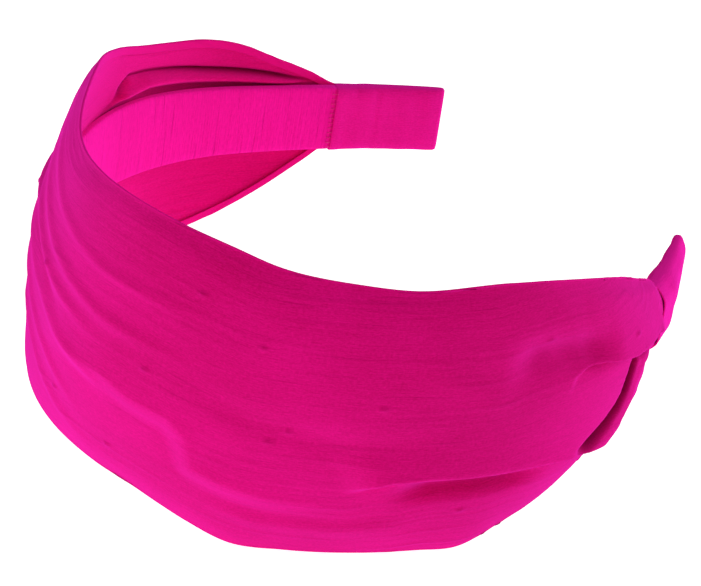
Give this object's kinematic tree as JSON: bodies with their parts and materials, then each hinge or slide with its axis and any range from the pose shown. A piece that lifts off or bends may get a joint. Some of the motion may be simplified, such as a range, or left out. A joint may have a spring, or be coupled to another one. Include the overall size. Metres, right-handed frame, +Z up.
{
  "type": "wide fabric headband",
  "caption": "Wide silk-covered headband: a springy C-shaped plastic former in a fabric cover, with a padded, pleated sash over the crown gathered into closed end cuffs.",
  "frame": {"origin": "the bottom centre of the headband's bounding box, in the middle plane, with the headband standing in balance on the sash's lower edge", "axes": "+Z up, -Y towards the crown, +Y towards the two cuffs, +X towards the wearer's right-hand half; the plane of the C leans 5 degrees, with the crown raised"},
  "size_m": [0.1544, 0.1507, 0.0738],
  "materials": {
    "sash_silk": "slubbed dupion silk, hot pink, soft sheen",
    "lining_silk": "slubbed dupion silk, hot pink, soft sheen",
    "cover_silk": "slubbed dupion silk cut across the grain, hot pink",
    "cuff_silk": "slubbed dupion silk, hot pink, plain and pressed flat",
    "interlining": "soft non-woven wadding",
    "former_plastic": "moulded, satin",
    "thread": "polyester sewing thread"
  },
  "bodies": {
    "left_half": {"former_left": "former_plastic", "cover_left": "cover_silk", "sash_face_left": "sash_silk", "sash_interlining_left": "interlining", "sash_lining_left": "lining_silk", "upper_edge_thread_left": "thread", "lower_edge_thread_left": "thread", "cover_seam_thread_left": "thread", "cuff_left": "cuff_silk", "cuff_thread_left": "thread", "gather_thread_left": "thread"},
    "right_half": {"former_right": "former_plastic", "cover_right": "cover_silk", "sash_face_right": "sash_silk", "sash_interlining_right": "interlining", "sash_lining_right": "lining_silk", "upper_edge_thread_right": "thread", "lower_edge_thread_right": "thread", "cover_seam_thread_right": "thread", "cuff_right": "cuff_silk", "cuff_thread_right": "thread", "gather_thread_right": "thread"}
  },
  "joints": [
    {"name": "spread", "type": "hinge", "parent": "left_half", "child": "right_half", "pos_m": [0, -0.07542, 0.03714], "axis": [0, -0.0872, -0.9962], "range_deg": [0, 15], "stiffness_Nm_per_rad": 0.6}
  ]
}
